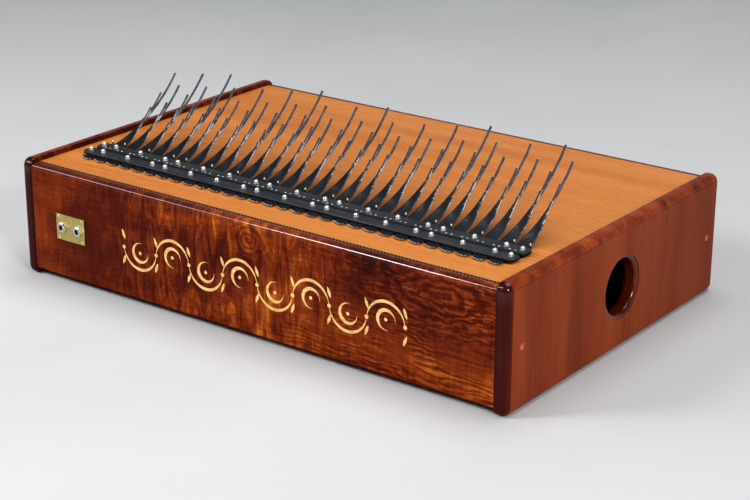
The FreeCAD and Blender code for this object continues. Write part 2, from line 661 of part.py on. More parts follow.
# Points of each lead between the pickup above and the back of its jack.
LEFT_ROUTE = ((-115.2, -132.5, 104), (-160, -128, 96), (-210, -130, 84), (-255, -136, 72),
              (-268.8, -157, 68.8))
RIGHT_ROUTE = ((115.2, -132.5, 104), (60, -150, 97), (0, -153, 94), (-60, -150, 92), (-120, -155, 88),
               (-180, -156, 80), (-226, -160, 72), (-243.8, -170, 68.8))
leads = []
for side, route, (across, up) in zip((-1, 1), (LEFT_ROUTE, RIGHT_ROUTE), jack_spots):
    pickup_end = Vector(side * size("pickup_place"), size(BRIDGE_MIDDLE), size(PICKUP_LOW))
    jack_end = Vector(size(across), size(FACE + " + " + PLUG_END), size(up))
    leads.append(lead([pickup_end] + [Vector(*spot) for spot in route] + [jack_end], size("lead_size")))
lead_item = doc.addObject("Part::Feature", "Leads")
lead_item.Shape = Part.makeCompound(leads)
part(lead_item, "pickup_leads")

# ---- inlay: a running scroll of crescents, curls, berries and leaves ----------------------------

HALF_WAVES = 8
scroll = []


def disc(name, across, up, radius, extra="0"):
    """A round slip of inlay at a place on the front panel, or a longer tool for cutting one."""
    return rod(name, (across, FACE + " - inlay_proud - " + extra, up), radius,
               "inlay_deep + inlay_proud + 2 * " + extra, INWARD)


def crescent(name, across, up, radius, bite, shift):
    """A disc with a second disc taken out of it, moved sideways and up by the shift."""
    whole = disc(name + "Disc", across, up, radius)
    bitten = disc(name + "Bite", "%s + %s" % (across, shift[0]), "%s + %s" % (up, shift[1]), bite, "1")
    return cut(name, whole, bitten)


def leaf(name, across, up, reach, lean):
    """Two discs' common lens, leaning by an angle in degrees."""
    sides = []
    for side in (-1, 1):
        side_across = "%s + %d * %s * 0.85 * cos(%d)" % (across, side, reach, lean)
        side_up = "%s + %d * %s * 0.85 * sin(%d)" % (up, side, reach, lean)
        sides.append(disc("%sSide%d" % (name, side + 1), side_across, side_up, reach))
    item = doc.addObject("Part::MultiCommon", name)
    item.Shapes = sides
    return item


stem = []
for wave in range(HALF_WAVES):
    middle = "inlay_middle + %.1f * scroll_size" % (2 * wave - HALF_WAVES + 1)
    rise = 1 if wave % 2 else -1
    shift = ("0", "%d * scroll_swell" % -rise)
    stem.append(crescent("Wave%d" % wave, middle, "inlay_level", "scroll_size", "scroll_size", shift))
    curl_up = "inlay_level + %d * scroll_size * 0.12" % rise
    scroll.append(crescent("Curl%d" % wave, middle, curl_up, "scroll_size * 0.5", "scroll_size * 0.42",
                           ("scroll_swell * 0.5", "%d * scroll_swell * 0.45" % -rise)))
    scroll.append(disc("Berry%d" % wave, middle, curl_up, "scroll_swell * 0.6"))
for joint in range(HALF_WAVES + 1):
    crossing = "inlay_middle + %d * scroll_size" % (2 * joint - HALF_WAVES)
    stem.append(disc("Bud%d" % joint, crossing, "inlay_level", "scroll_swell * 0.7"))
    for rise in (-1, 1):
        leaf_up = "inlay_level + %d * scroll_size * 0.62" % rise
        scroll.append(leaf("Leaf%d_%d" % (joint, rise + 1), crossing, leaf_up, "scroll_size * 0.5",
                           20 * rise))
scroll.append(fuse("Stem", stem))
inlay = gather("Inlay", scroll)
part(inlay, "inlay_flourish")
part(drilled("FrontPanel", front_board, [inlay, plate_screws]), "front_panel")

part(bottom, "bottom_board")

cheek_screws = []
for out in (-1, 1):
    for end in (-1, 1):
        code = "%d%d" % (out + 1, end + 1)
        spot = ("%d * (box_width / 2 - sink_depth)" % out, "%d * screw_place" % end, "box_height / 2")
        head = rod("CheekHead" + code, spot, "screw_sink - 0.4", "sink_depth / 2", ACROSS * out)
        stem_rod = rod("CheekStem" + code, spot, "screw_shank", "cheek_thick + block_size / 2 - sink_depth",
                       ACROSS * -out)
        cheek_screws.append(fuse("CheekScrew" + code, [head, stem_rod]))
part(gather("CheekScrews", cheek_screws), "cheek_screws")

# ---- check and write -------------------------------------------------------------------------

doc.recompute()
for item in doc.Objects:
    if "Invalid" in item.State or "Error" in item.State:
        raise ValueError("%s did not build: %s" % (item.Name, item.State))
for item in parts:
    if item.Shape.isNull() or not item.Shape.isValid() or not item.Shape.Solids:
        raise ValueError(item.Label + " has no sound shape")

os.makedirs("parts", exist_ok=True)
for item in parts:
    item.Shape.exportStep("parts/%s.step" % item.Label)
    box = item.Shape.BoundBox
    print("%-18s %3d solids %10.1f mm3  X %.1f..%.1f  Y %.1f..%.1f  Z %.1f..%.1f"
          % (item.Label, len(item.Shape.Solids), item.Shape.Volume, box.XMin, box.XMax, box.YMin, box.YMax,
             box.ZMin, box.ZMax))
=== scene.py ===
"""The look of a chromatic board mbira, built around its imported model.

The box is lacquered hardwood with a cedar soundboard.  Thirty groups of blued spring-steel tines
are clamped under two black bars.  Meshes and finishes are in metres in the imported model's own
frame: X along the box, Y from the front panel to the back, Z up, with the origin on the table.
The sizes of the strips, screws and nuts are in millimetres.
"""
import logging
import math
from dataclasses import dataclass, field
from enum import Enum
from typing import Any, Iterable, Sequence

import bpy
import numpy as np
from mathutils import Matrix, Vector


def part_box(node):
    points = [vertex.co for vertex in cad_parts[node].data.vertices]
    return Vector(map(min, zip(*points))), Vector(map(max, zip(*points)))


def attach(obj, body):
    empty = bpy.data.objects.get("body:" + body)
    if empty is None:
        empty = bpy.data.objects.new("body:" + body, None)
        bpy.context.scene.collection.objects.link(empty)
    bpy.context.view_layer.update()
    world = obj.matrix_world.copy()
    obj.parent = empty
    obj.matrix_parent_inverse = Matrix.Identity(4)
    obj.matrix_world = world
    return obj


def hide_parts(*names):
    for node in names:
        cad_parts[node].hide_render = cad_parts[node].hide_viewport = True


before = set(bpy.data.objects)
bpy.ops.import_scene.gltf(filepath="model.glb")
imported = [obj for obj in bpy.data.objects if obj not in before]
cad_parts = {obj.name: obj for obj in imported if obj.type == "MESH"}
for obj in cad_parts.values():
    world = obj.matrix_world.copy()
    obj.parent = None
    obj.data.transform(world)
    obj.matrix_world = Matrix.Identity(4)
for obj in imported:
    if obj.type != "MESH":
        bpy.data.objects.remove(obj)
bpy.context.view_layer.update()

LOG = logging.getLogger("mbira")
MM = 0.001
BOX_BODY = "box"
GROUPS = 30
TINES = 5
Colour = tuple[float, float, float]


# ---------------------------------------------------------------------------------------------
# Shader graphs
# ---------------------------------------------------------------------------------------------


class Value:
    """A number socket that Python's arithmetic works on."""

    def __init__(self, graph: "Graph", socket: bpy.types.NodeSocket) -> None:
        """Keeps the graph and the socket whose number this is."""
        self.graph = graph
        self.socket = socket

    def math(self, operation: str, *others: Any) -> "Value":
        """Adds one Math node with this value first.

        Args:
            operation: The Math node's operation.
            others: Its other inputs, values or plain numbers.
        Returns:
            The node's result.
        """
        return self.graph.math(operation, self, *others)

    def __add__(self, other: Any) -> "Value":
        """This value and another, added."""
        return self.math("ADD", other)

    def __radd__(self, other: Any) -> "Value":
        """A plain number and this value, added."""
        return self.math("ADD", other)

    def __sub__(self, other: Any) -> "Value":
        """This value less another."""
        return self.math("SUBTRACT", other)

    def __rsub__(self, other: Any) -> "Value":
        """A plain number less this value."""
        return self.graph.math("SUBTRACT", other, self)

    def __mul__(self, other: Any) -> "Value":
        """This value times another."""
        return self.math("MULTIPLY", other)

    def __rmul__(self, other: Any) -> "Value":
        """A plain number times this value."""
        return self.math("MULTIPLY", other)

    def sin(self) -> "Value":
        """The sine of this value in radians."""
        return self.math("SINE")

    def between(self, low: float, high: float) -> "Value":
        """Zero below low, one above high and a smooth step between them."""
        node = self.graph.node("ShaderNodeMapRange", {"interpolation_type": "SMOOTHSTEP"},
                               Value=self, From_Min=low, From_Max=high)
        return Value(self.graph, node.outputs["Result"])


class Graph:
    """One material's node tree, with its object coordinates ready to use."""

    def __init__(self, name: str) -> None:
        """Makes a material with an empty tree and an output.

        Args:
            name: The material's name.
        """
        self.material = bpy.data.materials.new(name)
        self.material.use_nodes = True
        self.tree = self.material.node_tree
        self.tree.nodes.clear()
        self.output = self.tree.nodes.new("ShaderNodeOutputMaterial")
        coordinates = self.node("ShaderNodeTexCoord", {})
        self.place = coordinates.outputs["Object"]
        self.x, self.y, self.z = self.split(self.place)

    def node(self, kind: str, settings: dict[str, Any], **sockets: Any) -> bpy.types.Node:
        """Adds any node.

        Args:
            kind: The node's type.
            settings: Properties to set first; "stops" fills a colour ramp.
            sockets: Inputs by name with _ for a space; _0, _1 and so on for a number.
        Returns:
            The new node.
        """
        node = self.tree.nodes.new(kind)
        for key, setting in settings.items():
            if key == "stops":
                self._fill_ramp(node.color_ramp, setting)
            else:
                setattr(node, key, setting)
        for key, given in sockets.items():
            target = node.inputs[int(key[1:])] if key[0] == "_" else node.inputs[key.replace("_", " ")]
            self._feed(target, given)
        return node

    def _feed(self, target: bpy.types.NodeSocket, given: Any) -> None:
        """Links a socket or value to an input, or sets a plain one.

        Args:
            target: The input.
            given: What it gets.
        """
        if isinstance(given, Value):
            given = given.socket
        if isinstance(given, bpy.types.NodeSocket):
            self.tree.links.new(given, target)
        else:
            target.default_value = given

    @staticmethod
    def _fill_ramp(ramp: bpy.types.ColorRamp, stops: Sequence[tuple[float, Colour]]) -> None:
        """Gives a colour ramp its stops.

        Args:
            ramp: A new ramp, which has two stops.
            stops: Two or more stops, each a position and a colour.
        """
        while len(ramp.elements) < len(stops):
            ramp.elements.new(0.5)
        for element, (position, colour) in zip(ramp.elements, stops):
            element.position = position
            element.color = (*colour, 1.0)

    def math(self, operation: str, *inputs: Any) -> Value:
        """Adds one Math node."""
        node = self.node("ShaderNodeMath", {"operation": operation},
                         **{"_%d" % number: given for number, given in enumerate(inputs)})
        return Value(self, node.outputs[0])

    def split(self, vector: bpy.types.NodeSocket) -> tuple[Value, Value, Value]:
        """A vector's three numbers."""
        node = self.node("ShaderNodeSeparateXYZ", {}, Vector=vector)
        return tuple(Value(self, node.outputs[axis]) for axis in "XYZ")

    def noise_on(self, scale: Sequence[float], place: bpy.types.NodeSocket, detail: float = 3.0,
                 roughness: float = 0.5, distortion: float = 0.0,
                 shift: Sequence[float] = (0, 0, 0)) -> Value:
        """Smooth noise from 0 to 1 over any vector.

        Args:
            scale: Waves per metre along each axis.
            place: The vector that the noise reads.
            detail: How many finer layers are added.
            roughness: How strong the finer layers are.
            distortion: How far the noise bends itself.
            shift: Moves the pattern, so that two noises of one scale differ.
        Returns:
            The noise.
        """
        mapped = self.node("ShaderNodeMapping", {}, Vector=place, Scale=tuple(scale),
                           Location=tuple(shift))
        node = self.node("ShaderNodeTexNoise", {}, Vector=mapped.outputs["Vector"], Scale=1.0,
                         Detail=detail, Roughness=roughness, Distortion=distortion)
        return Value(self, node.outputs["Fac"])

    def noise(self, scale: Sequence[float], detail: float = 3.0, roughness: float = 0.5,
              distortion: float = 0.0, shift: Sequence[float] = (0, 0, 0)) -> Value:
        """Smooth noise from 0 to 1 over the object's own coordinates."""
        return self.noise_on(scale, self.place, detail, roughness, distortion, shift)

    def away(self, side: Value, centre: tuple[float, float],
             stretch: tuple[float, float] = (1, 1)) -> Value:
        """The distance from a level axis.

        Args:
            side: X or Y, whichever is square to the axis.
            centre: Where the axis stands on that side and in height.
            stretch: Factors on the two distances, which turn the rings into ellipses.
        Returns:
            The distance, as the root of the sum of the squares.
        """
        across = (side - centre[0]) * stretch[0]
        up = (self.z - centre[1]) * stretch[1]
        return self.math("SQRT", across * across + up * up)

    def ramp(self, value: Value, stops: Sequence[tuple[float, Colour]]) -> bpy.types.NodeSocket:
        """A colour looked up along a ramp."""
        return self.node("ShaderNodeValToRGB", {"stops": stops}, Fac=value).outputs["Color"]

    def mix(self, share: Any, first: Any, second: Any, blend: str = "MIX") -> bpy.types.NodeSocket:
        """Mixes two colours.

        Args:
            share: How much of the second shows.
            first: A colour or a colour socket.
            second: Another.
            blend: The Mix node's blend type.
        Returns:
            The mixed colour.
        """
        first, second = ((*c, 1.0) if isinstance(c, tuple) else c for c in (first, second))
        node = self.node("ShaderNodeMix", {"data_type": "RGBA", "blend_type": blend},
                         _0=share, _6=first, _7=second)
        return node.outputs[2]

    def bump(self, height: Value, depth: float, strength: float = 1.0) -> bpy.types.NodeSocket:
        """A normal from a height that runs from 0 to 1 over a depth in metres."""
        node = self.node("ShaderNodeBump", {}, Strength=strength, Distance=depth, Height=height)
        return node.outputs["Normal"]

    def finish(self, **sockets: Any) -> bpy.types.Material:
        """Ends the graph in a Principled shader.

        Args:
            sockets: The shader's inputs by name, as in node.
        Returns:
            The finished material.
        """
        shader = self.node("ShaderNodeBsdfPrincipled", {}, **sockets)
        self.tree.links.new(shader.outputs[0], self.output.inputs["Surface"])
        return self.material


def rgb(red: int, green: int, blue: int) -> Colour:
    """A screen colour as the linear colour that shaders use.

    Args:
        red: From 0 to 255, like the other two.
        green: The second part.
        blue: The third part.
    Returns:
        The three parts from 0 to 1, with the screen's curve taken out.
    """
    shares = np.array((red, green, blue)) / 255.0
    linear = np.where(shares <= 0.04045, shares / 12.92, ((shares + 0.055) / 1.055) ** 2.4)
    return tuple(float(part) for part in linear)


# ---------------------------------------------------------------------------------------------
# Finishes
# ---------------------------------------------------------------------------------------------


@dataclass(frozen=True)
class FiguredFront:
    """Deep red-brown figured hardwood under thick gloss lacquer, for the front and rear panels."""

    black: Colour = rgb(46, 9, 3)
    dark: Colour = rgb(88, 25, 6)
    warm: Colour = rgb(132, 55, 14)
    gold: Colour = rgb(210, 120, 42)
    eye: tuple[float, float] = (0.009, 0.114)
    arches: tuple[float, float] = (0.25, 0.112)
    top_edge: tuple[float, float] = (0.1285, 0.1305)

    def material(self) -> bpy.types.Material:
        """Broad clouds, golden curls, two sets of nested rings and wavy long grain added together.

        The rings are the sine of the distance from a knot, which slow noise bends.  The long grain is
        the sine of the height with slow noise added; it grows stronger low on the right.

        Returns:
            The material.
        """
        g = Graph("figured_front")
        clouds = g.noise((5, 8, 12), 4.0, 0.6, 0.8)
        bend = g.noise((34, 22, 44), 3.0, 0.6, 0.9, (3, 0, 1))
        curls = g.noise((62, 9, 13), 3.0, 0.62, 2.2, (5, 0, 2))
        streaks = g.noise((30, 9, 330), 3.0, 0.65, 0.5, (0, 0, 5))
        drift = g.noise((8, 7, 20), 3.0, 0.55, 0.6, (7, 0, 2))
        patch = g.noise((14, 9, 26), 2.0, 0.5, 0.4, (9, 0, 4))
        grain = (g.z * 1150 + drift * 60).sin() * patch.between(0.4, 0.62)
        knot = g.away(g.x, self.eye, (1.0, 1.25)) + bend * 0.026
        rings = (knot * 760).sin() * (1 - knot.between(0.026, 0.05))
        arch = g.away(g.x, self.arches, (0.55, 1.5)) + bend * 0.045
        bows = (arch * 480).sin() * (1 - arch.between(0.055, 0.12)) * arch.between(0.012, 0.03)
        right = g.x.between(-0.02, 0.2)
        low = 1 - g.z.between(0.03, 0.11)
        curly = g.x.between(-0.25, -0.1) * (1 - g.x.between(0.03, 0.16))
        tone = (clouds - 0.5) * 0.75 + (curls - 0.5) * (curly * 0.62 + 0.3)
        tone = tone + (streaks - 0.5) * (right * 0.3 + 0.16)
        tone = tone + rings * 0.08 + bows * 0.11 + grain * (right * 0.03 + right * low * 0.06 + 0.025)
        tone = tone + curly * 0.06 + low * 0.09 + right * low * 0.06
        tone = tone + g.x.between(-0.3, -0.1) * 0.03 + 0.35
        pores = g.noise((110, 60, 1300), 2.0, 0.7)
        tone = tone - pores.between(0.56, 0.72) * 0.09
        colour = g.ramp(tone, [(0.14, self.black), (0.38, self.dark), (0.56, self.warm),
                               (0.84, self.gold)])
        ripple = g.noise((14, 14, 14), 1.0, 0.4)
        lacquer = g.z.between(*self.top_edge) * 0.82 + 0.15
        return g.finish(Base_Color=colour, Roughness=pores * 0.1 + 0.36, Specular_IOR_Level=0.02,
                        Coat_Weight=lacquer, Coat_Roughness=0.04, Coat_IOR=1.5,
                        Normal=g.bump(ripple, 0.0005, 0.3))


@dataclass(frozen=True)
class CheekWood:
    """Red-brown mahogany with a vertical ribbon, lacquered, for the end cheeks."""

    deep: Colour = rgb(50, 8, 4)
    dark: Colour = rgb(70, 16, 6)
    middle: Colour = rgb(132, 55, 22)
    light: Colour = rgb(168, 84, 40)
    # Painted highlight: the pale colour laid in the sunken screw holes.
    painted_screw_glint: Colour = rgb(226, 150, 112)
    port: tuple[float, float] = (0.003, 0.07)
    port_radius: tuple[float, float] = (0.0345, 0.0358)
    screws: tuple[tuple[float, float], ...] = ((-0.192, 0.07), (0.192, 0.07))
    screw_radius: tuple[float, float] = (0.0035, 0.0038)
    front_moulding: tuple[float, float] = (-0.2105, -0.2085)
    top_moulding: tuple[float, float] = (0.1315, 0.1335)
    inner_face: tuple[float, float] = (0.3165, 0.3195)

    def material(self) -> bpy.types.Material:
        """Wide ribbons and fine pores up the board, with dark mottles on the top moulding.

        The front moulding and the port's wall are darkened as painted shade, and the inner face is darker
        than the outer field.  Pale discs in the sunken screw holes are a painted highlight, and the
        lacquer is thickest on the port and the top corners.
        Each pair of numbers is where one part gives way to the next.

        Returns:
            The material.
        """
        g = Graph("cheek_wood")
        ribbon = g.noise((10, 15, 1.6), 3.0, 0.55, 0.35)
        fibre = g.noise((120, 210, 9), 3.0, 0.65)
        pores = g.noise((900, 1300, 70), 2.0, 0.7)
        mottle = g.noise((40, 52, 60), 3.0, 0.6, 0.4)
        along_top = g.z.between(*self.top_moulding)
        tone = ribbon * 0.74 + fibre * 0.26 - pores.between(0.6, 0.74) * 0.1
        tone = tone + along_top * ((mottle - 0.52) * 0.9 - 0.02)
        front = 1 - g.y.between(*self.front_moulding)
        inner = 1 - g.math("ABSOLUTE", g.x).between(*self.inner_face)
        wall = 1 - g.away(g.y, self.port).between(*self.port_radius)
        # Painted shade: the front moulding and the port's wall are darkened here; the inner face is made
        # darker too.
        tone = tone - front * 0.4 - inner * 0.3 - wall * 0.3
        colour = g.ramp(tone, [(0.0, self.deep), (0.16, self.dark), (0.48, self.middle),
                               (0.82, self.light)])
        ripple = g.noise((22, 22, 12), 1.0, 0.4)
        # Painted highlight: a pale disc mixed into the colour inside each sunken screw hole.
        left, right = (g.away(g.y, screw) for screw in self.screws)
        screw_glint_mask = 1 - g.math("MINIMUM", left, right).between(*self.screw_radius)
        colour = g.mix(screw_glint_mask, colour, self.painted_screw_glint)
        corner = front * (g.z.between(0.116, 0.13) * 0.6 + 0.1)
        lacquer = g.math("MAXIMUM", g.math("MAXIMUM", corner, wall), along_top * 0.5) * 0.8 + 0.16
        return g.finish(Base_Color=colour, Roughness=fibre * 0.12 + 0.34, Specular_IOR_Level=0.04,
                        Coat_Weight=lacquer, Coat_Roughness=0.05, Coat_IOR=1.5,
                        Normal=g.bump(ripple, 0.0004, 0.3))


@dataclass(frozen=True)
class CedarTop:
    """Light reddish cedar with its grain along the box, in a thin satin lacquer."""

    dark: Colour = rgb(158, 84, 32)
    middle: Colour = rgb(200, 124, 56)
    light: Colour = rgb(222, 150, 80)

    def material(self) -> bpy.types.Material:
        """Close year lines with slow waves, broad heartwood bands and faint cross silk.

        Returns:
            The material.
        """
        g = Graph("cedar_top")
        wander = g.noise((2.2, 7, 7), 2.0, 0.5)
        rings = (g.y * 980 + wander * 70).sin() * 0.5 + 0.5
        bands = g.noise((1.3, 26, 26), 3.0, 0.6, 0.2)
        silk = g.noise((70, 210, 60), 2.0, 0.6)
        fibre = g.noise((18, 950, 90), 2.0, 0.7)
        tone = bands * 0.5 + (rings - 0.5) * 0.11 + (silk - 0.5) * 0.24 + (fibre - 0.5) * 0.42 + 0.26
        colour = g.ramp(tone, [(0.2, self.dark), (0.5, self.middle), (0.8, self.light)])
        return g.finish(Base_Color=colour, Roughness=fibre * 0.15 + 0.4, Specular_IOR_Level=0.15,
                        Coat_Weight=0.5, Coat_Roughness=0.15, Coat_IOR=1.45,
                        Normal=g.bump(fibre, 0.00006, 0.3))


@dataclass(frozen=True)
class PlainWood:
    """Unfinished timber for the boards and blocks inside the box."""

    name: str
    dark: Colour
    light: Colour
    along: tuple[float, float, float] = (3, 60, 60)

    def material(self) -> bpy.types.Material:
        """Soft bands and fibres along one axis.

        Returns:
            The material.
        """
        g = Graph(self.name)
        bands = g.noise(self.along, 3.0, 0.6, 0.3)
        fibre = g.noise(tuple(wave * 12 for wave in self.along), 2.0, 0.7)
        colour = g.ramp(bands * 0.7 + fibre * 0.3, [(0.3, self.dark), (0.7, self.light)])
        return g.finish(Base_Color=colour, Roughness=fibre * 0.2 + 0.6, Normal=g.bump(fibre, 0.0001, 0.4))


@dataclass(frozen=True)
class RopePurfling:
    """Dark and pale veneers cut aslant and laid as a rope between two pale lines."""

    dark: Colour = rgb(22, 12, 10)
    pale: Colour = rgb(206, 146, 98)
    strands_per_metre: float = 230.0
    lean: float = 1100.0
    middle: float = -0.2037
    lines: tuple[float, float] = (0.0023, 0.0026)

    def material(self) -> bpy.types.Material:
        """Slanted strands: the sine of the length plus the width, cut off sharply.

        Returns:
            The material.
        """
        g = Graph("rope_purfling")
        slant = g.x * (self.strands_per_metre * math.tau) + g.y * self.lean
        strand = slant.sin().between(0.45, 1.0)
        border = g.math("ABSOLUTE", g.y - self.middle).between(*self.lines)
        speck = g.noise((900, 900, 900), 2.0, 0.6)
        share = g.math("MAXIMUM", strand * (speck * 0.4 + 0.25), border * 0.8)
        colour = g.mix(share, self.dark, self.pale)
        return g.finish(Base_Color=colour, Roughness=speck * 0.1 + 0.35, Specular_IOR_Level=0.2,
                        Coat_Weight=0.3, Coat_Roughness=0.2, Coat_IOR=1.4)


@dataclass(frozen=True)
class MapleInlay:
    """Pale maple let into the front panel, under the same lacquer."""

    dark: Colour = rgb(214, 160, 92)
    light: Colour = rgb(250, 212, 142)

    def material(self) -> bpy.types.Material:
        """Short flecks along the panel.

        Returns:
            The material.
        """
        g = Graph("maple_inlay")
        fleck = g.noise((60, 300, 420), 3.0, 0.6)
        colour = g.ramp(fleck, [(0.3, self.dark), (0.62, self.light)])
        return g.finish(Base_Color=colour, Roughness=fleck * 0.1 + 0.3, Specular_IOR_Level=0.1,
                        Coat_Weight=0.5, Coat_Roughness=0.05, Coat_IOR=1.4)


@dataclass(frozen=True)
class Metal:
    """One metal finish, from polished to blued."""

    name: str
    dark: Colour
    light: Colour
    roughness: float
    metallic: float = 1.0
    along: tuple[float, float, float] = (400, 400, 400)
    bump: float = 0.00002

    def material(self) -> bpy.types.Material:
        """Fine marks along one axis and slow patches of tarnish.

        Returns:
            The material.
        """
        g = Graph(self.name)
        marks = g.noise(self.along, 3.0, 0.65)
        patch = g.noise((45, 45, 45), 3.0, 0.6, 0.5, (2, 5, 1))
        colour = g.ramp(marks * 0.4 + patch * 0.6, [(0.3, self.dark), (0.7, self.light)])
        rough = patch * (self.roughness * 0.5) + marks * (self.roughness * 0.4) + self.roughness * 0.55
        return g.finish(Base_Color=colour, Metallic=self.metallic, Roughness=rough,
                        Normal=g.bump(marks, self.bump, 0.4))


@dataclass(frozen=True)
class BluedSpring:
    """Blue-black tempered spring steel, with straw and grey tints and marks along each strip."""

    dark: Colour = rgb(20, 22, 25)
    blue: Colour = rgb(56, 62, 70)
    straw: Colour = rgb(96, 76, 66)
    grey: Colour = rgb(112, 112, 120)
    # The colour of the painted highlight on the right-hand edges.
    bright: Colour = rgb(222, 228, 238)

    def material(self) -> bpy.types.Material:
        """Marks drawn along a strip, with tints that change from strip to strip.

        The strip attribute holds the distance along a strip, the place across it and its number.
        The right-hand edge carries a painted highlight in dashes, beyond the first centimetres.

        Returns:
            The material.
        """
        g = Graph("blued_spring")
        strip = g.node("ShaderNodeAttribute", {"attribute_name": "strip"}).outputs["Vector"]
        along, across, number = g.split(strip)
        marks = g.noise_on((30, 2600, 1), strip, 3.0, 0.7)
        tint = g.noise_on((14, 60, 1.7), strip, 3.0, 0.6)
        # Painted highlight: pale, less metallic dashes along each strip's right-hand edge, past its first
        # centimetres and fading further up.
        edge = across.between(0.0007, 0.00125)
        dashes = g.noise_on((150, 300, 3.1), strip, 2.0, 0.6)
        painted_highlight_reach = along.between(0.014, 0.036) * (1 - along.between(0.06, 0.09) * 0.7)
        bright = edge * painted_highlight_reach * (dashes.between(0.42, 0.58) * 0.75 + marks * 0.3)
        colour = g.mix(marks * 0.7 + tint * 0.3, self.dark, self.blue)
        colour = g.mix(tint.between(0.56, 0.72) * 0.5, colour, self.straw)
        colour = g.mix(along.between(0.03, 0.1) * marks * 0.7, colour, self.grey)
        colour = g.mix(bright, colour, self.bright)
        shade = (number * 12.9898).sin() * 0.04 + 0.06
        return g.finish(Base_Color=colour, Metallic=0.75 - bright * 0.65,
                        Roughness=marks * 0.2 + tint * 0.15 + shade + 0.22,
                        Normal=g.bump(marks, 0.00003, 0.5))


@dataclass(frozen=True)
class BarSteel:
    """Blackened steel, with a painted sheen on the top and painted shade on the sides."""

    # Near-black painted shade for the sides; dark and light span the painted sheen on the top.
    side: Colour = rgb(5, 5, 6)
    dark: Colour = rgb(38, 41, 45)
    light: Colour = rgb(80, 84, 90)
    top_level: float = 0.139
    gap_line: float = -0.136
    gap_half: tuple[float, float] = (0.0033, 0.0041)

    def material(self) -> bpy.types.Material:
        """Marks drawn along the bar on the top alone as a painted sheen, with painted shade near the gap
        between the bars.

        Returns:
            The material.
        """
        g = Graph("black_bar")
        marks = g.noise((9, 520, 40), 3.0, 0.65)
        patch = g.noise((24, 70, 40), 3.0, 0.6, 0.5)
        # Painted shade: near the gap between the bars the top takes the sides' dark colour; elsewhere it
        # gets the painted sheen.
        painted_gap_shade = 1 - g.math("ABSOLUTE", g.y - self.gap_line).between(*self.gap_half)
        top = g.z.between(self.top_level - 0.0002, self.top_level + 0.0003) * (1 - painted_gap_shade)
        sheen = g.ramp(marks * 0.6 + patch * 0.4, [(0.35, self.dark), (0.7, self.light)])
        return g.finish(Base_Color=g.mix(top, self.side, sheen), Metallic=top * 0.4 + 0.1,
                        Roughness=marks * 0.15 + patch * 0.2 + 0.26,
                        Normal=g.bump(marks, 0.00003, 0.4))


@dataclass(frozen=True)
class GuidePin:
    """A brass pin painted dark as shade, with a painted highlight near its rounded top."""

    # Painted shade for the shank, and a painted highlight for the top.
    dull: Colour = rgb(62, 50, 32)
    pale: Colour = rgb(250, 238, 196)
    highlight_above: float = 0.1402

    def material(self) -> bpy.types.Material:
        """Fine marks, and a change from painted shade to a painted highlight over one millimetre of
        height.

        Returns:
            The material.
        """
        g = Graph("pin_brass")
        marks = g.noise((500, 500, 500), 3.0, 0.6)
        painted_highlight_top = g.z.between(self.highlight_above - 0.0005, self.highlight_above + 0.0005)
        colour = g.mix(painted_highlight_top * (marks * 0.3 + 0.8), self.dull, self.pale)
        return g.finish(Base_Color=colour, Metallic=0.7, Roughness=marks * 0.15 + 0.3,
                        Normal=g.bump(marks, 0.00002, 0.4))


@dataclass(frozen=True)
class JackBarrel:
    """A jack: its front bush is nickel and its case is black plastic."""

    web: tuple[float, float] = (-0.2099, -0.2096)
    thread_pitch: float = 0.0006

    def material(self) -> bpy.types.Material:
        """Nickel in front of the panel's web and black behind it.

        Returns:
            The material.
        """
        g = Graph("jack_barrel")
        grain = g.noise((700, 700, 700), 3.0, 0.6)
        front = 1 - g.y.between(*self.web)
        thread = (g.y * (math.tau / self.thread_pitch)).sin() * 0.5 + 0.5
        nickel = g.mix(grain * 0.4, rgb(214, 214, 210), rgb(246, 246, 242))
        colour = g.mix(front, g.mix(grain, rgb(8, 8, 9), rgb(20, 20, 22)), nickel)
        return g.finish(Base_Color=colour, Metallic=front * 0.95, Roughness=grain * 0.12 + 0.22,
                        Normal=g.bump(thread * front, 0.00006, 0.5))


@dataclass(frozen=True)
class Moulded:
    """Plastic with a faint grain."""

    name: str
    colour: Colour
    roughness: float

    def material(self) -> bpy.types.Material:
        """A little mottling in colour and gloss.

        Returns:
            The material.
        """
        g = Graph(self.name)
        grain = g.noise((700, 700, 700), 3.0, 0.6)
        paler = tuple(part * 1.6 + 0.004 for part in self.colour)
        colour = g.mix(grain, self.colour, paler)
        return g.finish(Base_Color=colour, Roughness=grain * 0.1 + self.roughness,
                        Normal=g.bump(grain, 0.00003, 0.4))


